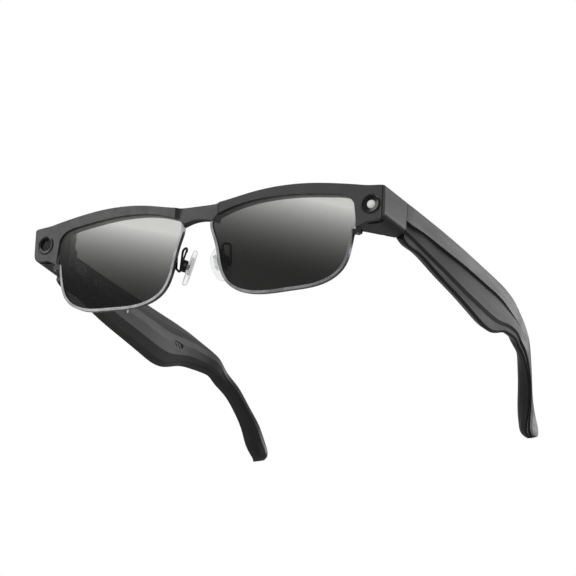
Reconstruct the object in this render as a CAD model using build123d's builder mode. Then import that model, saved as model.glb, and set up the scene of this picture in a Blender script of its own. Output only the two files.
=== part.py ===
from build123d import *
import math
import os

os.makedirs("parts", exist_ok=True)

# Smart glasses, worn size, in millimetres.
# +X is the wearer's left, +Y runs back along the temples, +Z is up.
# The origin is on the symmetry plane, on the front face at the bridge.

# ---------------------------------------------------------------- driving dimensions
LEAN = 5.5                  # the front leans back at its foot by this many degrees
WRAP = 5.0                  # each half of the front sweeps back by this many degrees
HALF_WIDTH = 72.0           # half the width of the front
BAR_FRONT = -0.5            # the brow's front face, from the front's reference face
BAR_SPLIT = 1.9             # where the brow's front shell meets its rear cover
BAR_BACK = 4.3              # the rear cover's back face
LENS_FRONT = 0.3
LENS_INSET = 0.5            # the lens's edge lies this far inside the rim's outer edge
FIT = 0.03                  # clearance around the lens
LENS_THICK = 1.2
RIM_DEEP = 1.6              # the lower rims, front to back
RIM_LIP = 0.2               # the rim stands this far in front of the lens
RIM_WIDE = 1.0              # the lower rims, seen from the front
MODULE_X, MODULE_Z = 67.0, -2.1     # camera and light windows
BEZEL_R = 3.6
BLOCK_TOP, BLOCK_FOOT = 5.0, -8.0   # corner housings behind the front
BLOCK_BACK = 21.5
ROOT_GAP = 0.3              # gap between a corner housing and its temple
PIN_X, PIN_Y, PIN_R = 64.6, 19.7, 0.6
KNUCKLE_R = 1.5
RUN_FIT = 0.05              # radial clearance of a running fit
SCREW_R = 0.4               # shanks of the hinge screws
SPLIT_IN = 3.9              # the temple's shell meets its inner cover this far in
PAD = (6.25, 8.8, -16.0)    # middle of a nose pad
PAD_LONG, PAD_WIDE, PAD_THICK = 13.6, 7.6, 1.6
BUTTON = (-66.8, 13.2)      # capture button on top of the right corner housing

LEANED = Location((0, 0, 0), (LEAN, 0, 0))
SWEEP = math.tan(math.radians(WRAP))


def write(part, name):
    """Label one finished piece and write it as its own STEP file."""
    part.label = name
    export_step(part, f"parts/{name}.step")


def write_pair(part, name):
    """Write a piece made for the left side, and its mirror image for the right."""
    write(part, f"{name}_left")
    write(mirror(part, about=Plane.YZ), f"{name}_right")


def face_y(x):
    """Depth of the front's reference face at a distance x from the middle."""
    return max(x - 8.0, 0.0) * SWEEP


def lens_plane(depth):
    """Sketch plane on the left half of the front; its x runs outward from x = 8."""
    wrap = math.radians(WRAP)
    out = (math.cos(wrap), math.sin(wrap), 0)
    forward = (math.sin(wrap), -math.cos(wrap), 0)
    origin = tuple(p - depth * f for p, f in zip((8, 0, 0), forward))
    return Plane(origin=origin, x_dir=out, z_dir=forward)


def screw(plane, head_r, head_h, shank_r, length):
    """Slotted pan screw whose head sits on the plane and shank goes below it."""
    with BuildPart() as piece:
        with BuildSketch(plane):
            Circle(head_r)
        extrude(amount=head_h)
        fillet(piece.edges().sort_by(Axis(plane.origin, plane.z_dir))[-1], radius=head_h * 0.4)
        with BuildSketch(plane.offset(head_h)):
            Rectangle(head_r * 1.3, head_r * 0.3)
        extrude(amount=-head_h * 0.45, mode=Mode.SUBTRACT)
        with BuildSketch(plane):
            Circle(shank_r)
        extrude(amount=-length)
    return piece.part


BROW_TOP = [(0, 3.7), (8, 3.9), (13.5, 4.9), (24, 7.0), (37, 8.0), (51, 7.1), (63, 5.3), (72, 4.5)]
OPENING_TOP = [(7.6, -0.7), (15.5, 2.2), (27.8, 4.1), (40.4, 4.1), (52, 3.0), (58.5, 1.3), (60.8, -1.5)]
LENS_EDGE = [(62.0, -3.0), (60.8, 1.4), (53, 4.1), (40, 5.2), (28, 5.2), (15.5, 3.5), (8.2, 0.8),
             (5.8, -2.0), (7.3, -10), (9.8, -20.3), (13.2, -26.5), (20.5, -30.25), (37, -30.65),
             (51, -28.55), (57.2, -24.0), (60.4, -14)]


def lens_outline(plane, inset):
    """The lens's outline, each point drawn in by inset, as a sketch on the given plane."""
    drawn = []
    for place, (x, z) in enumerate(LENS_EDGE):
        before = Vector(*LENS_EDGE[place - 1])
        after = Vector(*LENS_EDGE[(place + 1) % len(LENS_EDGE)])
        run = (after - before).normalized()
        drawn.append(Vector(x - 8, z) + Vector(-run.Y, run.X) * inset)
    with BuildSketch(plane) as outline:
        with BuildLine():
            Spline(drawn, periodic=True)
        make_face()
    return outline.sketch


def plan_band(front, back, reach=HALF_WIDTH + 2):
    """Both halves of the swept band between two depths, as a sketch seen from above."""
    far = face_y(reach)
    with BuildSketch(Plane.XY.offset(-20)) as band:
        with BuildLine():
            Polyline((0, front), (8, front), (reach, far + front), (reach, far + back), (8, back),
                     (0, back), close=True)
        make_face()
        mirror(about=Plane.YZ)
    return band.sketch


# ---------------------------------------------------------------- front: lenses and rims
with BuildPart() as lens:
    extrude(lens_outline(lens_plane(LENS_FRONT), LENS_INSET), amount=-LENS_THICK)
write_pair(LEANED * lens.part, "lens")

with BuildPart() as lens_pocket:
    extrude(lens_outline(lens_plane(LENS_FRONT - FIT), LENS_INSET - FIT), amount=-LENS_THICK - 2 * FIT)

RIM_TOP_IN, RIM_TOP_OUT = -2.7, -10.4
RIM_SCREW = (62.3, 0.7)     # across the front, and depth
with BuildPart() as rim_screw_hole:
    with BuildSketch(Plane.XY.offset(-14)):
        with Locations((RIM_SCREW[0], face_y(RIM_SCREW[0]) + RIM_SCREW[1])):
            Circle(0.42)
    extrude(amount=6.4)

with BuildPart() as lower_rim:
    extrude(lens_outline(lens_plane(LENS_FRONT - RIM_LIP), 0), amount=-RIM_DEEP)
    extrude(lens_outline(lens_plane(LENS_FRONT - 1), RIM_WIDE), amount=-RIM_DEEP - 2, mode=Mode.SUBTRACT)
    with BuildSketch(Plane.XZ.offset(10)):
        with BuildLine():
            Polyline((0, 10), (0, RIM_TOP_IN), (30, RIM_TOP_IN), (30, RIM_TOP_OUT), (70, RIM_TOP_OUT),
                     (70, 10), close=True)
        make_face()
    extrude(amount=-30, mode=Mode.SUBTRACT)
    with BuildSketch(lens_plane(LENS_FRONT - RIM_LIP)):
        with Locations((RIM_SCREW[0] - 8 - 0.4, RIM_TOP_OUT - 0.9)):
            RectangleRounded(3.4, 1.8, 0.4)
    extrude(amount=-RIM_DEEP)
    for cutter in (lens_pocket, rim_screw_hole):
        add(cutter.part, mode=Mode.SUBTRACT)
write_pair(LEANED * lower_rim.part, "lower_rim")

# ---------------------------------------------------------------- front: brow
BRIDGE_FOOT = [(6.9, -2.6), (4.1, -1.6), (0, -1.1)]
FOOT_RADIUS = 2.6           # the front's lower outer corners

with BuildPart() as brow_blank:
    with BuildSketch(Plane.XZ):
        with BuildLine():
            Spline(BROW_TOP, tangents=[(1, 0), (1, -0.05)])
            Polyline((72, 4.5), (71.6, -8.0), (65.5, -8.3), (61.9, -10.2), (60.8, -1.5))
            Spline(OPENING_TOP)
            Line((7.6, -0.7), (6.9, -2.6))
            Spline(BRIDGE_FOOT)
            Line((0, -1.1), (0, 3.7))
        make_face()
        mirror(about=Plane.YZ)
    extrude(amount=-14, both=True)
    corners = edges().filter_by(Axis.Y).filter_by(lambda e: abs(e.center().X) > 71 and e.center().Z > 0)
    fillet(corners, radius=1.4)
    corners = edges().filter_by(Axis.Y).filter_by(lambda e: abs(e.center().X) > 71 and e.center().Z < 0)
    fillet(corners, radius=FOOT_RADIUS)

with BuildPart() as front_flex:
    with BuildSketch(Plane.XZ):
        with BuildLine():
            Spline([(x, z - 0.9) for x, z in BROW_TOP[:-1]], tangents=[(1, 0), (1, -0.2)])
            Line((63, 4.4), (63, 3.4))
            Spline([(x, z - 1.9) for x, z in BROW_TOP[:-1]], tangents=[(1, 0), (1, -0.2)])
            Line((0, 1.8), (0, 2.8))
        make_face()
        mirror(about=Plane.YZ)
    extrude(amount=-14, both=True)
    extrude(plan_band(BAR_SPLIT, BAR_SPLIT + 0.25), amount=40, mode=Mode.INTERSECT)
    Box(124, 60, 60, mode=Mode.INTERSECT)
write(LEANED * front_flex.part, "front_flex")

MODULE_U = (MODULE_X - 8) / math.cos(math.radians(WRAP))
with BuildPart() as bezel_hole:
    with BuildSketch(lens_plane(BAR_FRONT - 2)):
        with Locations((MODULE_U, MODULE_Z)):
            Circle(BEZEL_R + 0.02)
    extrude(amount=-6)

with BuildPart() as brow_front_shell:
    add(brow_blank.part)
    extrude(plan_band(BAR_FRONT, BAR_SPLIT), amount=40, mode=Mode.INTERSECT)
    with BuildSketch(Plane.XY.offset(-20)):
        Polygon((-9.8, -3), (9.8, -3), (9.6, -0.7), (7.6, 0.6), (-7.6, 0.6), (-9.6, -0.7), align=None)
    extrude(amount=40, mode=Mode.SUBTRACT)
    for cutter in (lens_pocket, bezel_hole, rim_screw_hole):
        add(cutter.part, mode=Mode.SUBTRACT)
        add(mirror(cutter.part, about=Plane.YZ), mode=Mode.SUBTRACT)
    with BuildSketch(Plane.XY.offset(-20)):
        with Locations((HALF_WIDTH - 0.3, 8), (0.3 - HALF_WIDTH, 8)):
            Rectangle(1.2, 20)
    extrude(amount=40, mode=Mode.SUBTRACT)
write(LEANED * brow_front_shell.part, "brow_front_shell")

with BuildPart() as rim_screw:
    centre = (RIM_SCREW[0], face_y(RIM_SCREW[0]) + RIM_SCREW[1])
    add(screw(Plane(origin=(*centre, RIM_TOP_OUT - 1.8), z_dir=(0, 0, -1)), 0.75, 0.4, 0.4, 4.4))
write_pair(LEANED * rim_screw.part, "rim_screw")

COVER_REACH = 57.8
with BuildPart() as brow_rear_cover:
    add(brow_blank.part)
    extrude(plan_band(BAR_SPLIT, BAR_BACK), amount=40, mode=Mode.INTERSECT)
    with BuildSketch(Plane.XY.offset(-20)):
        Rectangle(2 * COVER_REACH, 60)
    extrude(amount=40, mode=Mode.INTERSECT)
    add(front_flex.part, mode=Mode.SUBTRACT)
    add(lens_pocket.part, mode=Mode.SUBTRACT)
    add(mirror(lens_pocket.part, about=Plane.YZ), mode=Mode.SUBTRACT)
write(LEANED * brow_rear_cover.part, "brow_rear_cover")

# ---------------------------------------------------------------- front: windows
def window_plane(depth):
    """Plane centred on a window of the left corner, facing forward, at a depth."""
    plane = lens_plane(depth)
    return Plane(origin=plane.from_local_coords((MODULE_U, MODULE_Z, 0)), x_dir=plane.x_dir,
                 z_dir=plane.z_dir)


def turned(profile):
    """Ring or disc turned about a window's axis; profile is (radius, depth) pairs."""
    axis_plane = window_plane(0)
    side = Plane(origin=axis_plane.origin, x_dir=axis_plane.x_dir, z_dir=-axis_plane.y_dir)
    with BuildPart() as piece:
        with BuildSketch(side):
            with BuildLine():
                Polyline([(r, -d) for r, d in profile], close=True)
            make_face()
        revolve(axis=Axis(axis_plane.origin, axis_plane.z_dir))
    return piece.part


def on_right(part):
    """The leaned piece, mirrored to the wearer's right."""
    return mirror(LEANED * part, about=Plane.YZ)


PROUD = BAR_FRONT - 0.45
bezel = [(BEZEL_R, BAR_SPLIT), (BEZEL_R, PROUD + 0.35), (BEZEL_R - 0.35, PROUD), (3.05, PROUD),
         (2.85, PROUD + 0.3)]
write(on_right(turned(bezel + [(2.3, PROUD + 0.45), (2.3, BAR_SPLIT)])), "camera_bezel")
write(on_right(turned([(0, PROUD + 0.6), (2.28, PROUD + 0.6), (2.28, PROUD + 1.2), (0, PROUD + 1.2)])),
      "camera_cover_glass")
barrel = [(0, 1.6), (0.8, 1.2), (1.2, 0.9), (2.28, 0.9), (2.28, 1.95), (2.9, 1.95), (2.9, 6.4), (0, 6.4)]
write(on_right(turned(barrel)), "camera_barrel")
write(LEANED * turned(bezel + [(1.55, PROUD + 0.6), (1.55, BAR_SPLIT)]), "light_bezel")
diffuser = [(0, PROUD + 0.35), (0.9, PROUD + 0.45), (1.53, PROUD + 0.75), (1.53, 1.95), (2.6, 1.95),
            (2.6, 3.0), (0, 3.0)]
write(LEANED * turned(diffuser), "light_diffuser")

with BuildPart() as camera_sensor_board:
    with BuildSketch(window_plane(6.45)):
        RectangleRounded(6.4, 5.6, 0.5)
    extrude(amount=-0.8)
    with BuildSketch(window_plane(7.25)):
        Rectangle(3.4, 3.8)
    extrude(amount=-0.9)
write(on_right(camera_sensor_board.part), "camera_sensor_board")

with BuildPart() as light_board:
    with BuildSketch(window_plane(3.4)):
        RectangleRounded(6.4, 6.6, 0.5)
    extrude(amount=-0.8)
    with BuildSketch(window_plane(3.05)):
        Rectangle(1.6, 1.6)
    extrude(amount=-0.35)
write(LEANED * light_board.part, "light_board")

# ---------------------------------------------------------------- corner housings
INNER_A, INNER_B = (61.0, 13.8), (68.6, 21.5)       # the slanting inner wall, seen from above
with BuildPart() as front_space:
    add(LEANED * extrude(plan_band(-30, BAR_SPLIT + 0.02, 90), amount=40, mode=Mode.PRIVATE))
with BuildPart() as side_space:
    add(LEANED * extrude(plan_band(-30, BAR_FRONT + 0.3, 90), amount=40, mode=Mode.PRIVATE))
with BuildPart() as shell_width:
    Box(2 * (HALF_WIDTH - 0.85), 60, 60)

with BuildPart() as corner_housing:
    with BuildSketch(Plane.XY.offset(BLOCK_FOOT)):
        Polygon((62.2, 2), (62.2, 9.3), (59.2, 9.3), (59.2, 12.6), INNER_A, INNER_B, (72.85, BLOCK_BACK),
                (72.1, 2), align=None)
    extrude(amount=BLOCK_TOP - BLOCK_FOOT)
    outer = edges().filter_by(lambda e: e.center().X > 72 and abs(e.center().Y - 12) < 1)
    fillet(outer.sort_by(Axis.Z)[0], radius=3.4)
    fillet(outer.sort_by(Axis.Z)[-1], radius=0.8)
    add(side_space.part, mode=Mode.SUBTRACT)
    add(front_space.part & shell_width.part, mode=Mode.SUBTRACT)
    with BuildSketch(Plane.XY.offset(BLOCK_FOOT + 1.2)):
        Polygon((63.4, 0), (63.4, 10.5), (60.4, 10.5), (60.4, 12.2), (61.7, 12.8), (68.6, 19.7),
                (68.6, 20.2), (71.2, 20.2), (70.9, 0), align=None)
    extrude(amount=BLOCK_TOP - BLOCK_FOOT - 2.4, mode=Mode.SUBTRACT)
    with Locations((PIN_X, PIN_Y, 0)):
        Cylinder(KNUCKLE_R + 0.3, 40, mode=Mode.SUBTRACT)
    with Locations((70.2, BLOCK_BACK, -1.5)):
        Box(1.2, 4, 4, mode=Mode.SUBTRACT)

# the right housing also carries the capture button in its top wall
with BuildPart() as right_housing:
    add(mirror(corner_housing.part, about=Plane.YZ))
    with BuildSketch(Plane.XY.offset(BLOCK_TOP + 1)):
        with Locations(BUTTON):
            SlotOverall(6.2, 2.6, rotation=90)
    extrude(amount=-4, mode=Mode.SUBTRACT)

with BuildPart() as capture_button:
    with BuildSketch(Plane.XY.offset(BLOCK_TOP - 1.15)):
        with Locations(BUTTON):
            SlotOverall(6.0, 2.4, rotation=90)
    extrude(amount=1.7)
    fillet(edges().group_by(Axis.Z)[-1], radius=0.35)
    with BuildSketch(Plane.XY.offset(BLOCK_TOP - 1.25)):
        with Locations(BUTTON):
            SlotOverall(7.0, 3.4, rotation=90)
    extrude(amount=-0.4)
    with BuildSketch(Plane.XY.offset(BLOCK_TOP - 1.15)):
        with Locations(BUTTON):
            Circle(0.6)
    extrude(amount=-0.75)
write(capture_button.part, "capture_button")

with BuildPart() as button_switch:
    with Locations((*BUTTON, BLOCK_TOP - 2.55)):
        Box(3.0, 3.6, 0.4)
    with Locations((BUTTON[0] - 1.35, BUTTON[1], BLOCK_TOP - 2.85)):
        Box(5.8, 5.4, 0.3)
write(button_switch.part, "button_switch")

# ---------------------------------------------------------------- hinges
FRONT_KNUCKLES = ((-6.5, -4.2), (-0.8, 1.5))        # heights of the front leaf's knuckles
TEMPLE_KNUCKLE = (-4.1, -0.9)
HINGE_SCREWS = (-4.6, -0.4)                         # heights of the front leaf's screws
along = Vector(INNER_B[0] - INNER_A[0], INNER_B[1] - INNER_A[1]).normalized()
inward = Vector(-along.Y, along.X)


def by_wall(run, out):
    """Point beside the slanting inner wall: run along it, out from it."""
    return tuple(Vector(*INNER_A) + along * run + inward * out)[:2]


with BuildPart() as hinge_front_leaf:
    with BuildSketch(Plane.XY.offset(FRONT_KNUCKLES[0][0])):
        Polygon(by_wall(0.7, 0.02), by_wall(6.7, 0.02), by_wall(6.7, 1.0), by_wall(0.7, 1.0), align=None)
        with Locations((PIN_X, PIN_Y)):
            Circle(KNUCKLE_R)
    extrude(amount=FRONT_KNUCKLES[1][1] - FRONT_KNUCKLES[0][0])
    gap = FRONT_KNUCKLES[1][0] - FRONT_KNUCKLES[0][1]
    with Locations((PIN_X, PIN_Y, FRONT_KNUCKLES[0][1] + gap / 2)):
        Cylinder(KNUCKLE_R + 0.35, gap, mode=Mode.SUBTRACT)
    with Locations((PIN_X, PIN_Y, 0)):
        Cylinder(PIN_R, 40, mode=Mode.SUBTRACT)
    screw_plane = Plane(origin=(*by_wall(2.4, 1.0), 0), x_dir=along, z_dir=inward)
    with BuildSketch(screw_plane):
        with Locations([(0, z) for z in HINGE_SCREWS]):
            Circle(SCREW_R + 0.02)
    extrude(amount=-2, mode=Mode.SUBTRACT)
write_pair(hinge_front_leaf.part, "hinge_front_leaf")

with BuildPart() as hinge_pin:
    with BuildSketch(Plane.XY.offset(FRONT_KNUCKLES[0][0])):
        with Locations((PIN_X, PIN_Y)):
            Circle(PIN_R)
    extrude(amount=8)
    with BuildSketch(Plane.XY.offset(FRONT_KNUCKLES[1][1])):
        with Locations((PIN_X, PIN_Y)):
            Circle(1.05)
    extrude(amount=0.45)
    fillet(edges().group_by(Axis.Z)[-1], radius=0.2)
write_pair(hinge_pin.part, "hinge_pin")

with BuildPart() as hinge_screws:
    for z in HINGE_SCREWS:
        head = Plane(origin=screw_plane.from_local_coords((0, z, 0)), x_dir=along, z_dir=inward)
        add(screw(head, 0.75, 0.4, SCREW_R, 1.9))
write_pair(hinge_screws.part, "hinge_screws")

# the housings take the screws' shanks
for side, housing in (("left", corner_housing.part), ("right", right_housing.part)):
    with BuildPart() as drilled:
        add(housing)
        add(hinge_screws.part if side == "left" else mirror(hinge_screws.part, about=Plane.YZ),
            mode=Mode.SUBTRACT)
    write(drilled.part, f"corner_housing_{side}")

ROOT = BLOCK_BACK + ROOT_GAP
TONGUE = (65.6, 66.8)       # the temple leaf's tongue, across
LEAF_SCREWS = (25.0, 29.0)  # the tongue's two screws, along the temple
LEAF_MID = sum(TEMPLE_KNUCKLE) / 2
with BuildPart() as hinge_temple_leaf:
    with BuildSketch(Plane.XY.offset(TEMPLE_KNUCKLE[0])):
        with Locations((PIN_X, PIN_Y)):
            Circle(KNUCKLE_R)
        Polygon((PIN_X - 0.6, PIN_Y + 0.6), (PIN_X + 0.4, PIN_Y - 0.2), (TONGUE[1], 20.9),
                (TONGUE[1], 31), (TONGUE[0], 31), (TONGUE[0], 22), align=None)
    extrude(amount=TEMPLE_KNUCKLE[1] - TEMPLE_KNUCKLE[0])
    with Locations(((TONGUE[0] + TONGUE[1]) / 2, 27.2, LEAF_MID)):
        Box(TONGUE[1] - TONGUE[0], 9, 4.4)
    fillet(edges().filter_by(Axis.X).group_by(Axis.Y)[-1], radius=1.4)
    with Locations((PIN_X, PIN_Y, 0)):
        Cylinder(PIN_R + RUN_FIT, 40, mode=Mode.SUBTRACT)
    with BuildSketch(Plane.YZ.offset(60)):
        with Locations([(y, LEAF_MID) for y in LEAF_SCREWS]):
            Circle(SCREW_R + 0.02)
    extrude(amount=10, mode=Mode.SUBTRACT)
write_pair(hinge_temple_leaf.part, "hinge_temple_leaf")

with BuildPart() as temple_screws:
    for y in LEAF_SCREWS:
        head = Plane(origin=(TONGUE[0], y, LEAF_MID), x_dir=(0, 1, 0), z_dir=(-1, 0, 0))
        add(screw(head, 0.85, 0.4, SCREW_R, 3.6))
write_pair(temple_screws.part, "temple_screws")

# ---------------------------------------------------------------- temples
# A station: the outer face's top edge and foot (x, y, z), thickness, then distances down from
# the top edge to the outer band's foot and to the ridge, and the depth of the step between them.
STATIONS = [
    ((72.85, ROOT, 4.9), (72.85, ROOT, -9.0), 6.3, 6.8, 10.7, 0.9),
    ((73.15, 32.0, 5.1), (73.15, 32.0, -10.1), 6.4, 6.6, 11.6, 1.0),
    ((73.4, 48.0, 5.3), (73.4, 48.0, -11.8), 6.5, 6.4, 13.0, 1.1),
    ((73.4, 68.0, 5.4), (73.4, 68.0, -13.9), 6.5, 6.0, 14.5, 1.1),
    ((72.95, 84.0, 5.5), (72.95, 84.0, -15.6), 6.5, 5.8, 15.0, 1.0),
    ((72.7, 93.0, 5.5), (72.7, 93.0, -16.3), 6.4, 5.7, 15.1, 1.0),
    ((72.5, 99.0, 5.5), (72.5, 99.0, -15.6), 6.3, 5.6, 15.0, 0.9),
    ((72.25, 105.0, 5.5), (72.25, 105.0, -13.6), 6.2, 5.8, 14.4, 0.8),
    ((71.8, 111.0, 5.2), (71.8, 111.0, -11.2), 6.0, 6.0, 12.8, 0.6),
    ((71.1, 118.0, 4.6), (71.1, 118.4, -9.7), 5.8, 6.2, 10.9, 0.35),
    ((70.2, 124.2, 3.5), (70.2, 125.4, -8.9), 5.6, 5.6, 9.5, 0.15),
    ((68.8, 133.5, 1.2), (68.8, 131.2, -9.4), 5.4, 4.6, 8.2, 0.06),
    ((68.1, 139.6, -2.2), (68.6, 135.6, -10.9), 4.8, 4.0, 7.2, 0.04),
    ((66.0, 146.8, -6.5), (67.5, 141.8, -13.2), 5.0, 3.6, 6.3, 0.04),
    ((63.8, 153.8, -13.2), (66.0, 148.6, -18.3), 5.5, 3.2, 5.5, 0.04),
    ((61.9, 159.7, -19.2), (64.4, 153.1, -24.7), 5.8, 3.8, 6.5, 0.04),
    ((61.3, 164.9, -25.7), (62.8, 155.3, -31.3), 5.6, 4.6, 8.6, 0.04),
    ((61.3, 168.1, -30.0), (61.6, 157.8, -34.4), 4.9, 4.8, 8.4, 0.04),
    ((61.3, 167.5, -33.0), (62.2, 161.1, -35.7), 3.1, 3.0, 5.4, 0.04),
]
COVER_END = 134.0           # the inner cover stops here, where the ear hook begins
CAVITY = (33.0, 116.0)


def station_plane(top, foot):
    """Plane across the temple: x runs inward from the outer face, y up from the middle."""
    rise = (Vector(*top) - Vector(*foot)).normalized()
    inward = (Vector(-1, 0, 0) + rise * rise.X).normalized()
    return Plane(origin=(Vector(*top) + Vector(*foot)) / 2, x_dir=inward, z_dir=inward.cross(rise))


def temple_section(top, foot, thick, band, ridge, step):
    """Cross-section of a temple at one station, as a sketch."""
    tall = math.dist(top, foot)
    half = tall / 2
    with BuildSketch(station_plane(top, foot)) as section:
        Polygon((0.45, half), (0, half - 0.45), (0, half - band), (step, half - band - 0.35),
                (0.05, half - ridge), (0.75, half - ridge - 0.07 * tall), (0.6, 0.05 * tall - half),
                (1.4, -half), (0.6 * thick, 0.08 * tall - half), (0.86 * thick, 0.25 * tall - half),
                (thick, -0.04 * tall), (0.97 * thick, 0.12 * tall), (0.78 * thick, 0.27 * tall),
                (0.47 * thick, 0.4 * tall), (0.2 * thick, half), align=None)
    return section.sketch


with BuildPart() as temple_blank:
    sections = [temple_section(*station) for station in STATIONS]
    loft(sections)

with BuildPart() as cavity:
    rooms = []
    for (outer_x, y, top), (_, _, foot), thick in [station[:3] for station in STATIONS]:
        if not CAVITY[0] - 2 < y < CAVITY[1] + 3:
            continue
        tall = top - foot
        y = min(max(y, CAVITY[0]), CAVITY[1])
        with BuildSketch(Plane(origin=(outer_x, y, foot), x_dir=(-1, 0, 0), z_dir=(0, 1, 0))) as room:
            Polygon((2.3, tall - 3.2), (2.3, 2.8), (3.3, 2.6), (thick - 1.6, 0.3 * tall),
                    (thick - 1.3, 0.45 * tall), (thick - 1.6, 0.66 * tall), (3.6, tall - 3.2), align=None)
        rooms.append(room.sketch)
    loft(rooms, ruled=True)

SPLIT_LINE = [(top[0] - SPLIT_IN, (top[1] + foot[1]) / 2) for top, foot, *_ in STATIONS[:13]]
with BuildPart() as inboard:
    with BuildSketch(Plane.XY.offset(-45)):
        with BuildLine():
            Spline(SPLIT_LINE)
            Polyline(SPLIT_LINE[-1], (40, SPLIT_LINE[-1][1]), (40, 0), (SPLIT_LINE[0][0], 0), SPLIT_LINE[0])
        make_face()
        with Locations((60, COVER_END + 10)):
            Rectangle(40, 20, mode=Mode.SUBTRACT)
    extrude(amount=60)

CORE_ROUTE = [(68.9, 117.5, -2.4), (66.3, 132, -3.8), (64.3, 144.2, -9.9), (60.3, 156.6, -22.3)]
with BuildPart() as tip_core:
    with BuildLine() as route:
        FilletPolyline(CORE_ROUTE, radius=14)
    with BuildSketch(Plane(origin=route.line @ 0, z_dir=route.line % 0)):
        Circle(0.7)
    sweep()
write_pair(tip_core.part, "tip_core")

with BuildPart() as leaf_seat:
    with Locations((TONGUE[1] - 3, 27.1, LEAF_MID)):
        Box(6, 9.6, 4.8)
    fillet(edges().filter_by(Axis.X).group_by(Axis.Y)[-1], radius=1.5)
    with Locations((TONGUE[1] - 3, 21, LEAF_MID)):
        Box(6, 8, 4.8)
with BuildPart() as cable_slot:
    with Locations((70.2, 28, -1.5)):
        Box(1.2, 14, 4)

# pieces inside the temples, and the openings they need; x is measured from the middle
CHARGER_Y, CHARGER_Z, CHARGER_FACE = 44.0, -3.0, 66.55
LIGHT_Y, LIGHT_Z = 64.5, -5.0
SPEAKER_Y, SPEAKER_Z, GRILLE_Z = 103.0, -5.2, -6.0


def slab(x_near, x_far, y_mid, z_mid, long, tall, corner=0.6):
    """Upright rounded slab between two distances across, as a part."""
    with BuildPart() as piece:
        with BuildSketch(Plane.YZ.offset(x_near)):
            with Locations((y_mid, z_mid)):
                RectangleRounded(long, tall, corner)
        extrude(amount=x_far - x_near)
    return piece.part


battery = slab(69.05, 70.75, 61.0, -3.3, 34, 7.2, 1.0)
sub_board = slab(68.9, 69.5, 38.3, -2.8, 9.0, 6.2)
speaker = slab(67.8, 69.6, SPEAKER_Y, SPEAKER_Z, 9.4, 6.2, 2.2)
with BuildPart() as main_board:
    add(slab(68.95, 69.55, 86.0, -4.0, 13.0, 8.0))
    add(slab(69.55, 70.25, 84.5, -3.6, 5.0, 5.0, 0.3))
    add(slab(69.55, 70.1, 89.6, -5.4, 3.4, 2.6, 0.2))

with BuildPart() as speaker_grille:
    add(slab(66.5, 67.0, SPEAKER_Y, GRILLE_Z, 6.6, 3.0, 0.8))
    with BuildSketch(Plane.YZ.offset(66)):
        with Locations((SPEAKER_Y, GRILLE_Z)):
            with GridLocations(1.2, 0, 5, 1):
                SlotOverall(2.0, 0.5, rotation=90)
    extrude(amount=2, mode=Mode.SUBTRACT)
with BuildPart() as speaker_opening:
    add(slab(60, 67.01, SPEAKER_Y, GRILLE_Z, 6.7, 3.1, 0.85))
    with BuildSketch(Plane.YZ.offset(66)):
        with Locations((SPEAKER_Y, GRILLE_Z)):
            with GridLocations(1.2, 0, 5, 1):
                SlotOverall(2.0, 0.5, rotation=90)
    extrude(amount=3)

with BuildPart() as charging_block:
    add(slab(CHARGER_FACE, 67.6, CHARGER_Y, CHARGER_Z, 12.0, 4.4, 1.6))
    with BuildSketch(Plane.YZ.offset(CHARGER_FACE)):
        with Locations((CHARGER_Y, CHARGER_Z)):
            with GridLocations(2.4, 0, 4, 1):
                Circle(0.7)
    extrude(amount=0.6, mode=Mode.SUBTRACT)
with BuildPart() as charging_contacts:
    with BuildSketch(Plane.YZ.offset(CHARGER_FACE + 0.1)):
        with Locations((CHARGER_Y, CHARGER_Z)):
            with GridLocations(2.4, 0, 4, 1):
                Circle(0.7)
    extrude(amount=0.5)
charging_opening = slab(60, 67.6, CHARGER_Y, CHARGER_Z, 12.04, 4.44, 1.62)

with BuildPart() as status_light:
    with BuildSketch(Plane.YZ.offset(66.86)):
        with Locations((LIGHT_Y, LIGHT_Z)):
            SlotOverall(2.3, 1.0, rotation=90)
    extrude(amount=1.5)

with BuildPart() as temple_shell:
    add(temple_blank.part)
    for cutter in (cavity, inboard, tip_core, cable_slot, temple_screws):
        add(cutter.part, mode=Mode.SUBTRACT)

with BuildPart() as temple_cover:
    add(temple_blank.part & inboard.part)
    for cutter in (cavity, leaf_seat, temple_screws, speaker_opening):
        add(cutter.part, mode=Mode.SUBTRACT)
with BuildPart() as right_cover:
    add(temple_cover.part)
    add(charging_opening, mode=Mode.SUBTRACT)
    add(status_light.part, mode=Mode.SUBTRACT)

write_pair(temple_shell.part, "temple_shell")
write(temple_cover.part, "temple_inner_cover_left")
write(mirror(right_cover.part, about=Plane.YZ), "temple_inner_cover_right")
for piece, name in ((battery, "battery"), (speaker, "speaker"), (speaker_grille.part, "speaker_grille")):
    write_pair(piece, name)
write(sub_board, "control_board_left")
for piece, name in ((main_board, "main_board"), (charging_block, "charging_block"),
                    (charging_contacts, "charging_contacts"), (status_light, "status_light")):
    write(mirror(piece.part, about=Plane.YZ), f"{name}_right")

# ---------------------------------------------------------------- nose pads
TOE_IN, SPLAY = 30.0, 16.0      # the pad's face turns back, and its foot spreads outward
TURN, LEAN_OUT = math.radians(TOE_IN), math.radians(SPLAY)
pad_up = Vector(-math.sin(LEAN_OUT), 0, math.cos(LEAN_OUT))
to_nose = Vector(-math.cos(TURN), math.sin(TURN), 0)
to_nose = (to_nose - pad_up * to_nose.dot(pad_up)).normalized()
pad_across = pad_up.cross(to_nose)
PIVOT_BACK = 1.95               # from the middle of the pad to its rocking pin
CLASP_BACK, CLASP_FRONT = -3.3, -1.25           # the clasp's faces, from the middle of the pad
CLASP_WIDE, CLASP_TALL = 3.8, 4.0


def pad_plane(out):
    """Plane along a nose pad, out towards the nose from its middle; y runs up the pad."""
    return Plane(origin=Vector(*PAD) + to_nose * out, x_dir=pad_across, z_dir=to_nose)


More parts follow.
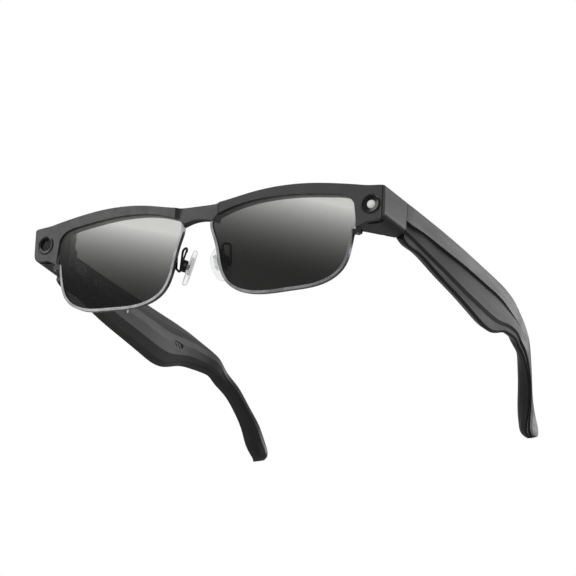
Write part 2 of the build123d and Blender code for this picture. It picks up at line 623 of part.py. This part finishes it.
with BuildPart() as pad_core:
    with BuildSketch(pad_plane(-0.3)):
        with Locations((0, 0.6)):
            RectangleRounded(5.0, 6.2, 1.2)
    extrude(amount=0.6)
    with BuildSketch(pad_plane(-PIVOT_BACK)):
        Rectangle(1.3, 1.7)
    extrude(amount=PIVOT_BACK)
    with BuildSketch(Plane(origin=pad_plane(-PIVOT_BACK).origin - pad_across * 0.65, x_dir=pad_up,
                           z_dir=pad_across)):
        Circle(0.85)
    extrude(amount=1.3)
    with BuildSketch(Plane(origin=pad_plane(-PIVOT_BACK).origin - pad_across * 3, x_dir=pad_up,
                           z_dir=pad_across)):
        Circle(0.35 + RUN_FIT)
    extrude(amount=6, mode=Mode.SUBTRACT)
write_pair(pad_core.part, "pad_core")

with BuildPart() as nose_pad:
    with BuildSketch(pad_plane(-PAD_THICK / 2)):
        with BuildLine():
            Spline([(-0.5, PAD_LONG / 2), (-PAD_WIDE / 2, 1.0), (-1.6, -PAD_LONG / 2 + 0.6),
                    (0.6, -PAD_LONG / 2), (PAD_WIDE / 2, -2.2), (2.3, PAD_LONG / 2 - 1.8)], periodic=True)
        make_face()
    extrude(amount=PAD_THICK)
    fillet(edges().group_by(Axis(pad_plane(0).origin, to_nose))[-1], radius=0.8)
    fillet(edges().group_by(Axis(pad_plane(0).origin, to_nose))[0], radius=0.5)
    add(pad_core.part, mode=Mode.SUBTRACT)
write_pair(nose_pad.part, "nose_pad")

with BuildPart() as pad_screw:
    pin_plane = Plane(origin=pad_plane(-PIVOT_BACK).origin + pad_across * CLASP_WIDE / 2, x_dir=pad_up,
                      z_dir=pad_across)
    add(screw(pin_plane, 0.6, 0.3, 0.35, CLASP_WIDE))
write_pair(pad_screw.part, "pad_screw")

web = pad_plane(CLASP_BACK + 0.1).origin
WIRE_R = 0.42
WIRE = [(9.7, 3.9, -17.2), (10.4, 9.0, -17.3), (9.9, 8.6, -8.7), tuple(web + pad_up * 7.3),
        tuple(web + pad_up)]
with BuildPart() as bracket:
    with BuildSketch(lens_plane(LENS_FRONT - RIM_LIP + RIM_DEEP)):
        with Locations((1.7, -15.6)):
            RectangleRounded(1.7, 5.2, 0.5)
    extrude(amount=-0.7)

with BuildPart() as pad_arm:
    with BuildLine() as wire_route:
        FilletPolyline(WIRE, radius=1.3)
    with BuildSketch(Plane(origin=wire_route.line @ 0, z_dir=wire_route.line % 0)):
        Circle(WIRE_R)
    sweep()
    with BuildSketch(pad_plane(CLASP_BACK)):
        RectangleRounded(CLASP_WIDE, CLASP_TALL, 0.7)
    extrude(amount=CLASP_FRONT - CLASP_BACK)
    with BuildSketch(pad_plane(CLASP_BACK + 0.35)):
        Rectangle(1.45, 10)
    extrude(amount=6, mode=Mode.SUBTRACT)
    add(pad_screw.part, mode=Mode.SUBTRACT)
    add(LEANED * bracket.part)
write_pair(pad_arm.part, "pad_arm")
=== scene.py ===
import math

import bpy
import bmesh
from mathutils import Matrix, Vector


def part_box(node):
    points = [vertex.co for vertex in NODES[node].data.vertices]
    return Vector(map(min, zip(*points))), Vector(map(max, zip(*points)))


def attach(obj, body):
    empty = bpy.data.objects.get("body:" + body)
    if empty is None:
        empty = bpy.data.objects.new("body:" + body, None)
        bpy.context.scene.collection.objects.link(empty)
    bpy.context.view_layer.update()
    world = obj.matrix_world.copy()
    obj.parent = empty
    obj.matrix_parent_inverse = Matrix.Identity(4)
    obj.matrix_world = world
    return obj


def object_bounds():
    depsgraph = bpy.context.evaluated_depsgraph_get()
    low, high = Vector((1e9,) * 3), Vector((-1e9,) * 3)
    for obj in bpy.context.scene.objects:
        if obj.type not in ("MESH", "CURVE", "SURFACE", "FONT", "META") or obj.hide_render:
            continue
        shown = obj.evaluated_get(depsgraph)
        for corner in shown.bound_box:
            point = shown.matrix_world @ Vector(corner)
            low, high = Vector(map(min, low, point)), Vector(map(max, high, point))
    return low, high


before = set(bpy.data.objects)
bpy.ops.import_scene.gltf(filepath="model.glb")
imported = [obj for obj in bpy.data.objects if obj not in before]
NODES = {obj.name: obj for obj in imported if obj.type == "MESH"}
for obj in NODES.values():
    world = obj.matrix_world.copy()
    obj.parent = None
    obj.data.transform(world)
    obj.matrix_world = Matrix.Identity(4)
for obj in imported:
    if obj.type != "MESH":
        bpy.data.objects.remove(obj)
cad_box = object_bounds()
MM = 0.001
FINE_BUMP = 0.01 * MM           # height of moulding grain and of brushed lines
EDGE_RADIUS = 0.25 * MM         # rounding on the moulded pieces' sharp edges


# ------------------------------------------------------------------ node helpers
class Tree:
    """A material's node tree, with short calls for the nodes used here."""

    def __init__(self, name):
        self.mat = bpy.data.materials.new(name)
        self.mat.use_nodes = True
        self.nodes = self.mat.node_tree.nodes
        self.links = self.mat.node_tree.links
        self.shader = self.nodes["Principled BSDF"]
        self.out = self.nodes["Material Output"]
        self.place = self.nodes.new("ShaderNodeTexCoord").outputs["Object"]

    def put(self, kind, **settings):
        node = self.nodes.new(kind)
        for key, value in settings.items():
            setattr(node, key, value)
        return node

    def feed(self, socket, value):
        if isinstance(value, bpy.types.NodeSocket):
            self.links.new(value, socket)
        else:
            socket.default_value = value

    def math(self, operation, a, b=0.0, c=0.0, clamp=False):
        node = self.put("ShaderNodeMath", operation=operation, use_clamp=clamp)
        for socket, value in zip(node.inputs, (a, b, c)):
            self.feed(socket, value)
        return node.outputs[0]

    def noise(self, scale, detail=2.0, rough=0.5, stretch=None):
        place = self.place
        if stretch:
            mapping = self.put("ShaderNodeMapping")
            mapping.inputs["Scale"].default_value = stretch
            self.links.new(self.place, mapping.inputs["Vector"])
            place = mapping.outputs[0]
        node = self.put("ShaderNodeTexNoise")
        self.links.new(place, node.inputs["Vector"])
        node.inputs["Scale"].default_value = scale
        node.inputs["Detail"].default_value = detail
        node.inputs["Roughness"].default_value = rough
        return node.outputs["Fac"]

    def span(self, value, low, high, out_low=0.0, out_high=1.0, smooth=True):
        node = self.put("ShaderNodeMapRange", clamp=True)
        node.interpolation_type = "SMOOTHSTEP" if smooth else "LINEAR"
        for socket, item in zip(node.inputs, (value, low, high, out_low, out_high)):
            self.feed(socket, item)
        return node.outputs[0]

    def mix(self, factor, a, b):
        node = self.put("ShaderNodeMix", data_type="RGBA")
        self.feed(node.inputs["Factor"], factor)
        for socket, colour in ((node.inputs[6], a), (node.inputs[7], b)):
            self.feed(socket, colour if isinstance(colour, bpy.types.NodeSocket) else (*colour, 1.0))
        return node.outputs[2]

    def axes(self):
        split = self.put("ShaderNodeSeparateXYZ")
        self.links.new(self.place, split.inputs[0])
        return split.outputs

    def bump(self, height, distance, strength=1.0):
        node = self.put("ShaderNodeBump")
        node.inputs["Strength"].default_value = strength
        node.inputs["Distance"].default_value = distance
        self.feed(node.inputs["Height"], height)
        self.links.new(node.outputs[0], self.shader.inputs["Normal"])

    def set(self, **sockets):
        for key, value in sockets.items():
            socket = self.shader.inputs[key.replace("_", " ")]
            if isinstance(value, tuple) and len(value) == 3:
                value = (*value, 1.0)
            self.feed(socket, value)


def grey(level):
    return (level, level, level * 0.985)


def moulded(name, dark, light, rough, grain=0.35):
    """Satin moulded plastic: fine spark texture, soft cloudiness, faint rub marks."""
    t = Tree(name)
    cloud = t.noise(60.0, 3.0)
    colour = t.mix(cloud, grey(dark), grey(light))
    fine = t.noise(5200.0, 2.0, 0.6)
    rub = t.noise(240.0, 4.0, 0.6, (1.0, 0.12, 1.0))
    t.set(Base_Color=colour, Roughness=t.span(rub, 0.3, 0.75, rough - 0.05, rough + 0.06))
    t.bump(fine, FINE_BUMP, grain)
    return t


def metal(name, colour, rough, brushed=(1.0, 1.0, 8.0), dark=None):
    """Bare or plated metal with fine brushed lines and slight tarnish."""
    t = Tree(name)
    lines = t.noise(2600.0, 3.0, 0.7, brushed)
    stain = t.noise(190.0, 3.0)
    shade = dark or tuple(c * 0.6 for c in colour)
    t.set(Base_Color=t.mix(t.span(stain, 0.3, 0.8), colour, shade), Metallic=1.0,
          Roughness=t.span(lines, 0.25, 0.75, rough - 0.06, rough + 0.08))
    t.bump(lines, FINE_BUMP, 0.3)
    return t


def board(name, mask, copper):
    """Circuit board: solder mask with copper traces and pads under it."""
    t = Tree(name)
    cells = t.put("ShaderNodeTexVoronoi", feature="DISTANCE_TO_EDGE", distance="CHEBYCHEV")
    t.links.new(t.place, cells.inputs["Vector"])
    cells.inputs["Scale"].default_value = 1100.0
    traces = t.span(cells.outputs["Distance"], 0.04, 0.07)
    t.set(Base_Color=t.mix(traces, copper, mask), Roughness=0.35)
    t.bump(traces, 0.03 * MM, 0.6)
    return t


def paint(node_base, tree):
    """Gives a CAD node, or its left and right pair, one material."""
    for name, obj in NODES.items():
        if name == node_base or name in (f"{node_base}_left", f"{node_base}_right"):
            obj.data.materials.clear()
            obj.data.materials.append(tree.mat)


def soften(node):
    """Rounds a CAD node's sharp edges a little, as a moulded piece has them."""
    obj = NODES[node]
    weld = obj.modifiers.new("join_faces", "WELD")
    weld.merge_threshold = 0.002 * MM
    edge = obj.modifiers.new("edge_radius", "BEVEL")
    edge.width, edge.segments = EDGE_RADIUS, 3
    edge.limit_method, edge.angle_limit = "ANGLE", math.radians(35.0)
    edge.use_clamp_overlap = True
    edge.harden_normals = False
    obj.modifiers.new("even_normals", "WEIGHTED_NORMAL").keep_sharp = False


def see_through(tree, factor, tint):
    """Lets what is behind show through: the tree's own surface is mixed in by the factor."""
    clear = tree.put("ShaderNodeBsdfTransparent")
    tree.feed(clear.inputs["Color"], tint)
    blend = tree.put("ShaderNodeMixShader")
    tree.feed(blend.inputs["Fac"], factor)
    tree.links.new(clear.outputs[0], blend.inputs[1])
    tree.links.new(tree.shader.outputs[0], blend.inputs[2])
    tree.links.new(blend.outputs[0], tree.out.inputs["Surface"])


# ------------------------------------------------------------------ mouldings
brow = moulded("brow_plastic", 0.028, 0.04, 0.38)
paint("brow_front_shell", brow)
soften("brow_front_shell")
paint("brow_rear_cover", moulded("rear_cover_plastic", 0.011, 0.015, 0.46))

housing = moulded("housing_plastic", 0.02, 0.03, 0.36)
paint("corner_housing", housing)
for name in ("corner_housing_left", "corner_housing_right"):
    soften(name)

# the ridge along the temples' outer faces: distance back and height, in metres
RIDGE = [(0.022, -0.0058), (0.048, -0.0077), (0.084, -0.0095), (0.099, -0.0095), (0.118, -0.0063),
         (0.127, -0.0062), (0.140, -0.0094), (0.147, -0.0128), (0.154, -0.0187), (0.160, -0.0257),
         (0.165, -0.0340)]
RIDGE_REACH, RIDGE_DROP = 0.17, 0.04    # the curve below covers this far back and down


def ridge_height(tree, along):
    """Height in metres of the temple's ridge line, from the distance back along it."""
    curve = tree.put("ShaderNodeFloatCurve")
    line = curve.mapping.curves[0]
    line.points[0].location = (0.0, 1.0 + RIDGE[0][1] / RIDGE_DROP)
    line.points[1].location = (1.0, 1.0 + RIDGE[-1][1] / RIDGE_DROP)
    for place, height in RIDGE:
        line.points.new(place / RIDGE_REACH, 1.0 + height / RIDGE_DROP)
    curve.mapping.update()
    tree.feed(curve.inputs["Value"], tree.math("DIVIDE", along, RIDGE_REACH))
    return tree.math("MULTIPLY_ADD", curve.outputs[0], RIDGE_DROP, -RIDGE_DROP)


# painted shade: the outward faces below the ridge are painted darker and duller than the outer band
shell = moulded("temple_plastic", 0.022, 0.03, 0.36, 0.08)
shell_x, shell_y, shell_z = shell.axes()
facing = shell.put("ShaderNodeSeparateXYZ")
shell.links.new(shell.put("ShaderNodeTexCoord").outputs["Normal"], facing.inputs[0])
away = shell.math("MULTIPLY", facing.outputs[0], shell.math("SIGN", shell_x))
outward = shell.span(away, -0.2, 0.3)
height = shell.math("SUBTRACT", shell_z, ridge_height(shell, shell_y))
painted_shade_below_ridge = shell.math("MULTIPLY", outward, shell.span(height, -0.0006, 0.0002, 1.0, 0.0))
cloud = shell.shader.inputs["Base Color"].links[0].from_socket
rubbed = shell.shader.inputs["Roughness"].links[0].from_socket
shell.set(Base_Color=shell.mix(painted_shade_below_ridge, cloud, grey(0.004)),
          Roughness=shell.math("ADD", rubbed, shell.math("MULTIPLY", painted_shade_below_ridge, 0.16)))
paint("temple_shell", shell)
paint("temple_inner_cover", moulded("cover_plastic", 0.04, 0.055, 0.42))

# ------------------------------------------------------------------ rims and lenses
RIM_CORNER = (0.0598, 0.0604)   # the rims darken between these distances from the middle
rim = metal("rim_gunmetal", (0.19, 0.19, 0.195), 0.22, (6.0, 1.0, 1.0), (0.09, 0.09, 0.095))
rim_x, _, _ = rim.axes()
# painted shade: beyond RIM_CORNER the rims' outer ends are painted near black
outer = rim.span(rim.math("ABSOLUTE", rim_x), *RIM_CORNER)
plated = rim.shader.inputs["Base Color"].links[0].from_socket
rim.set(Base_Color=rim.mix(outer, plated, grey(0.03)))
paint("lower_rim", rim)

# painted reflection graded into the tint: dark at the foot, clearer and lighter towards the brow, and
# tilted a little
LENS_MIDDLE = 0.034             # middle of a lens, from the middle of the glasses
TILT = 0.3                      # rise of the grading for each unit across
# painted reflection: the wearer's left lens is drawn darker by sitting further down the grading
LEFT_DROP = -0.0035             # the wearer's left lens is this much further down the grading
GRADE_FOOT, GRADE_TOP = -0.028, 0.002
lens = Tree("lens_tint_painted_reflection")
x, _, z = lens.axes()
across = lens.math("SUBTRACT", lens.math("ABSOLUTE", x), LENS_MIDDLE)
signed = lens.math("MULTIPLY", across, lens.math("SIGN", x))
slope = lens.math("ADD", z, lens.math("MULTIPLY", signed, TILT))
slope = lens.math("MULTIPLY_ADD", lens.math("GREATER_THAN", x, 0.0), LEFT_DROP, slope)
# the grading paints the reflection of the light above into both the colour and the see-through tint
painted_reflection_grade = lens.math("POWER", lens.span(slope, GRADE_FOOT, GRADE_TOP, smooth=False), 2.0)
haze = lens.noise(35.0, 2.0)
lens.set(Base_Color=lens.mix(painted_reflection_grade, grey(0.04), grey(0.7)),
         Roughness=lens.span(haze, 0.3, 0.7, 0.1, 0.16))
lens.shader.inputs["Specular IOR Level"].default_value = 0.12
see_through(lens, 0.25, lens.mix(painted_reflection_grade, grey(0.17), grey(0.9)))
paint("lens", lens)

# ------------------------------------------------------------------ nose pads and fittings
pad = Tree("clear_silicone")
wave = pad.noise(420.0, 2.0)
pad.set(Base_Color=pad.mix(wave, (0.8, 0.81, 0.81), (0.88, 0.88, 0.88)),
        Roughness=pad.span(wave, 0.3, 0.7, 0.12, 0.2))
pad.bump(wave, 0.03 * MM, 0.3)
rim_view = pad.put("ShaderNodeLayerWeight")
rim_view.inputs["Blend"].default_value = 0.35
see_through(pad, pad.span(rim_view.outputs["Facing"], 0.25, 1.0, 0.06, 0.7), (0.97, 0.975, 0.975, 1.0))
paint("nose_pad", pad)

paint("pad_arm", metal("arm_blackened", (0.05, 0.05, 0.052), 0.3))
paint("pad_core", metal("core_steel", (0.5, 0.5, 0.5), 0.3))
steel = metal("screw_steel", (0.22, 0.22, 0.22), 0.28)
for name in ("pad_screw", "rim_screw", "temple_screws", "hinge_screws"):
    paint(name, steel)
hinge = metal("hinge_steel", (0.16, 0.16, 0.165), 0.32)
for name in ("hinge_front_leaf", "hinge_temple_leaf"):
    paint(name, hinge)
paint("hinge_pin", metal("pin_steel", (0.5, 0.5, 0.5), 0.22, (1.0, 1.0, 0.2)))
paint("tip_core", metal("core_wire", (0.45, 0.45, 0.44), 0.35, (1.0, 0.1, 1.0)))

# ------------------------------------------------------------------ windows and electronics
bezel = Tree("bezel_black")
grain = bezel.noise(4000.0, 2.0)
bezel.set(Base_Color=bezel.mix(grain, grey(0.004), grey(0.009)),
          Roughness=bezel.span(grain, 0.3, 0.7, 0.14, 0.22))
bezel.bump(grain, FINE_BUMP, 0.3)
paint("camera_bezel", bezel)
paint("light_bezel", bezel)

glass = Tree("camera_glass")
smear = glass.noise(700.0, 2.0)
glass.set(Base_Color=glass.mix(smear, grey(0.01), grey(0.02)),
          Roughness=glass.span(smear, 0.3, 0.7, 0.02, 0.06))
glancing = glass.put("ShaderNodeFresnel").outputs[0]
see_through(glass, glass.span(glancing, 0.0, 1.0, 0.04, 1.0), (0.9, 0.9, 0.92, 1.0))
paint("camera_cover_glass", glass)

barrel = Tree("barrel_black")
fine = barrel.noise(3500.0, 2.0)
barrel.set(Base_Color=barrel.mix(fine, grey(0.003), grey(0.02)),
           Roughness=barrel.span(fine, 0.3, 0.7, 0.2, 0.32))
barrel.bump(fine, FINE_BUMP, 0.3)
paint("camera_barrel", barrel)

frost = Tree("diffuser_frost_painted_glow")
milk = frost.noise(1600.0, 3.0)
frost.set(Base_Color=frost.mix(milk, grey(0.82), grey(0.92)),
          Roughness=frost.span(milk, 0.3, 0.7, 0.4, 0.55))
frost.shader.inputs["Subsurface Weight"].default_value = 0.3
frost.shader.inputs["Subsurface Radius"].default_value = (0.8 * MM,) * 3
# painted glow: the unlit light window is given a faint emission so the disc reads pale
frost.set(Emission_Color=frost.mix(milk, grey(0.8), grey(1.0)))
frost.shader.inputs["Emission Strength"].default_value = 0.18
frost.bump(milk, 0.02 * MM, 0.4)
paint("light_diffuser", frost)

signal = Tree("status_white")
milk = signal.noise(1600.0, 3.0)
signal.set(Base_Color=signal.mix(milk, grey(0.8), grey(0.9)),
           Roughness=signal.span(milk, 0.3, 0.7, 0.3, 0.4))
paint("status_light", signal)

paint("capture_button", moulded("button_plastic", 0.02, 0.03, 0.3))
paint("charging_block", moulded("charger_plastic", 0.008, 0.012, 0.3))
nickel = metal("contact_nickel", (0.2, 0.19, 0.17), 0.25, (1.0, 1.0, 1.0), (0.12, 0.11, 0.1))
paint("charging_contacts", nickel)
paint("speaker_grille", moulded("grille_plastic", 0.036, 0.05, 0.44))
paint("speaker", moulded("speaker_body", 0.02, 0.03, 0.5))
paint("battery", metal("cell_foil", (0.6, 0.61, 0.62), 0.35, (1.0, 4.0, 1.0)))
for name in ("main_board", "control_board", "camera_sensor_board", "light_board"):
    paint(name, board(f"{name}_mask", (0.01, 0.05, 0.03), (0.05, 0.12, 0.06)))
paint("button_switch", board("switch_mask", (0.01, 0.03, 0.05), (0.05, 0.08, 0.12)))
paint("front_flex", board("flex_black", (0.012, 0.012, 0.012), (0.04, 0.03, 0.02)))

# ------------------------------------------------------------------ camera lens detail
WRAP, LEAN = math.radians(5.0), math.radians(5.5)   # how the front sweeps back and leans
TURN_STEPS = 64


def turned_piece(name, profile, centre, axis, tree, body):
    """Piece turned about an axis from (radius, forward) pairs in mm, with a flat disc at each end."""
    side = axis.cross(Vector((0.0, 0.0, 1.0))).normalized()
    high = side.cross(axis)
    bm = bmesh.new()
    rings = []
    for radius, forward in profile:
        ring = []
        for step in range(TURN_STEPS):
            angle = 2.0 * math.pi * step / TURN_STEPS
            offset = (side * math.cos(angle) + high * math.sin(angle)) * radius * MM
            ring.append(bm.verts.new(centre + offset + axis * forward * MM))
        rings.append(ring)
    for near, far in zip(rings, rings[1:]):
        for step in range(TURN_STEPS):
            after = (step + 1) % TURN_STEPS
            bm.faces.new((near[step], near[after], far[after], far[step]))
    bm.faces.new(rings[0][::-1])
    bm.faces.new(rings[-1])
    bmesh.ops.recalc_face_normals(bm, faces=bm.faces)
    mesh = bpy.data.meshes.new(name)
    bm.to_mesh(mesh)
    bm.free()
    mesh.polygons.foreach_set("use_smooth", [True] * len(mesh.polygons))
    mesh.materials.append(tree.mat)
    piece = bpy.data.objects.new(name, mesh)
    bpy.context.scene.collection.objects.link(piece)
    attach(piece, body)


eye_axis = Vector((-math.sin(WRAP), -math.cos(WRAP) * math.cos(LEAN), -math.cos(WRAP) * math.sin(LEAN)))
eye = Tree("eye_glass")
coat = eye.noise(900.0, 2.0)
eye.set(Base_Color=eye.mix(coat, (0.004, 0.004, 0.008), (0.012, 0.01, 0.016)),
        Roughness=eye.span(coat, 0.3, 0.7, 0.03, 0.06))
eye.shader.inputs["Coat Weight"].default_value = 1.0
eye.shader.inputs["Coat Roughness"].default_value = 0.02
glass_middle = sum(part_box("camera_cover_glass"), Vector()) / 2
EYE_R, EYE_RISE, EYE_DEPTH = 1.15, 0.62, 0.95       # in mm; depth is behind the cover glass
dome = [(EYE_R * math.cos(math.radians(a)), EYE_RISE * math.sin(math.radians(a)))
        for a in range(0, 90, 9)]
dome.append((0.02, EYE_RISE))
turned_piece("camera_eye", dome, glass_middle - eye_axis * EYE_DEPTH * MM, eye_axis, eye, "front")

RINGS = (("camera_ring_outer", 2.05, 0.5), ("camera_ring_inner", 1.5, 0.62))    # radius, depth in mm
RING_HALF = 0.1
ring_metal = metal("ring_grey", (0.5, 0.5, 0.5), 0.25, (1.0, 1.0, 1.0))
for name, radius, depth in RINGS:
    inner, outer = radius - RING_HALF, radius + RING_HALF
    profile = [(inner, 0.0), (inner, 0.12), (radius, 0.16), (outer, 0.12), (outer, 0.0)]
    turned_piece(name, profile, glass_middle - eye_axis * depth * MM, eye_axis, ring_metal, "front")

# ------------------------------------------------------------------ studio
low, high = cad_box
middle = (low + high) / 2
FLOOR_DROP = 1.56               # the floor is this far below the glasses, in metres
bm = bmesh.new()
bmesh.ops.create_grid(bm, x_segments=2, y_segments=2, size=12.0)
floor_mesh = bpy.data.meshes.new("floor")
bm.to_mesh(floor_mesh)
bm.free()
floor = bpy.data.objects.new("floor", floor_mesh)
floor.location = (0.0, 0.0, low.z - FLOOR_DROP)
bpy.context.scene.collection.objects.link(floor)
# the floor looks pale to the camera whatever light reaches it
ground = Tree("floor_pale")
speck = ground.noise(3.0, 2.0)
ground.set(Base_Color=ground.mix(speck, grey(0.6), grey(0.64)), Roughness=0.9)
sheen = ground.put("ShaderNodeEmission")
ground.feed(sheen.inputs["Color"], ground.mix(speck, grey(0.86), grey(0.9)))
lit = ground.put("ShaderNodeMixShader")
ground.links.new(ground.put("ShaderNodeLightPath").outputs["Is Camera Ray"], lit.inputs["Fac"])
ground.links.new(ground.shader.outputs[0], lit.inputs[1])
ground.links.new(sheen.outputs[0], lit.inputs[2])
ground.links.new(lit.outputs[0], ground.out.inputs["Surface"])
floor_mesh.materials.append(ground.mat)

bpy.context.scene.view_settings.view_transform = "Standard"
# a white background behind the glasses, and a dimmer one for the light it gives
world = bpy.data.worlds.new("studio")
bpy.context.scene.world = world
world.use_nodes = True
nodes, links = world.node_tree.nodes, world.node_tree.links
dim = nodes["Background"]
dim.inputs["Color"].default_value = (1.0, 1.0, 1.0, 1.0)
dim.inputs["Strength"].default_value = 0.3
paper = nodes.new("ShaderNodeBackground")
paper.inputs["Color"].default_value = (1.0, 1.0, 1.0, 1.0)
paper.inputs["Strength"].default_value = 1.0
seen = nodes.new("ShaderNodeLightPath")
chosen = nodes.new("ShaderNodeMixShader")
links.new(seen.outputs["Is Camera Ray"], chosen.inputs["Fac"])
links.new(dim.outputs[0], chosen.inputs[1])
links.new(paper.outputs[0], chosen.inputs[2])
links.new(chosen.outputs[0], nodes["World Output"].inputs["Surface"])


def softbox(name, toward, distance, width, height, radiance):
    """Rectangular light of a given brightness, facing the middle of the glasses."""
    data = bpy.data.lights.new(name, "AREA")
    data.shape = "RECTANGLE"
    data.size, data.size_y = width, height
    data.energy = radiance * width * height * math.pi
    lamp = bpy.data.objects.new(name, data)
    lamp.location = middle + Vector(toward).normalized() * distance
    lamp.rotation_euler = (middle - lamp.location).to_track_quat("-Z", "Y").to_euler()
    bpy.context.scene.collection.objects.link(lamp)


# direction, distance, width, height, brightness
softbox("top_light", (0.1, -0.1, 1.0), 1.6, 1.6, 1.4, 1.6)
softbox("side_strip", (0.5, 0.8, 0.27), 2.0, 1.6, 0.55, 2.6)
softbox("front_fill", (-0.68, -0.8, 0.42), 2.2, 1.8, 1.3, 2.6)

# ------------------------------------------------------------------ camera
CAMERA_AT = (0.52193, -0.84439, -0.40520)
AZIMUTH, ELEVATION, ROLL = math.radians(29.729), math.radians(-20.995), math.radians(5.001)
right = Vector((math.cos(AZIMUTH), math.sin(AZIMUTH), 0.0))
back = Vector((math.sin(AZIMUTH) * math.cos(ELEVATION), -math.cos(AZIMUTH) * math.cos(ELEVATION),
               math.sin(ELEVATION)))
up = back.cross(right)
turned_right = right * math.cos(ROLL) + up * math.sin(ROLL)
turned_up = up * math.cos(ROLL) - right * math.sin(ROLL)
optics = bpy.data.cameras.new("camera")
optics.lens, optics.sensor_width = 187.5, 36.0
optics.clip_start = 0.05
camera = bpy.data.objects.new("camera", optics)
turn = Matrix((turned_right, turned_up, back)).transposed().to_4x4()
camera.matrix_world = Matrix.Translation(CAMERA_AT) @ turn
bpy.context.scene.collection.objects.link(camera)
bpy.context.scene.camera = camera
